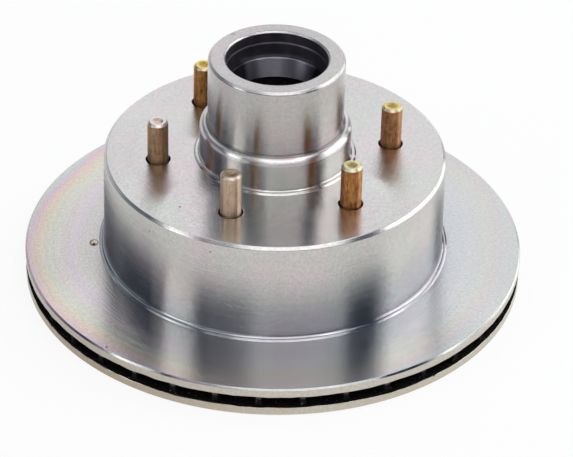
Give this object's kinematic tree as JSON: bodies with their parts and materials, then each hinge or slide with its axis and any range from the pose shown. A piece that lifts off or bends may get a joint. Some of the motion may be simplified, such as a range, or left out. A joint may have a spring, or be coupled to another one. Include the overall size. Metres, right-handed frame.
{
  "type": "hub rotor",
  "caption": "Wheel hub and vented brake rotor cast in one piece, with a tall hat, a stepped hub snout, pressed-in wheel studs and bearing cups.",
  "frame": {"origin": "centre of the inboard friction face, where the hub axis meets the surface that the rotor stands on", "axes": "+Z along the hub axis from the inboard face to the snout, -Y to the front of the picture, +X to its right"},
  "size_m": [0.3, 0.3, 0.1457],
  "materials": {
    "zinc_plated_iron": "grey iron, turned bright and clear zinc plated, with a faint rainbow tint",
    "bearing_steel": "ground bearing steel, lightly oiled",
    "yellow_zinc_steel": "steel with yellow zinc plating, bronze brown on the threads"
  },
  "bodies": {
    "root": {"hub_rotor": "zinc_plated_iron", "outer_bearing_cup": "bearing_steel", "inner_bearing_cup": "bearing_steel", "wheel_stud_1": "yellow_zinc_steel", "wheel_stud_2": "yellow_zinc_steel", "wheel_stud_3": "yellow_zinc_steel", "wheel_stud_4": "yellow_zinc_steel", "wheel_stud_5": "yellow_zinc_steel", "wheel_stud_6": "yellow_zinc_steel"}
  },
  "joints": []
}
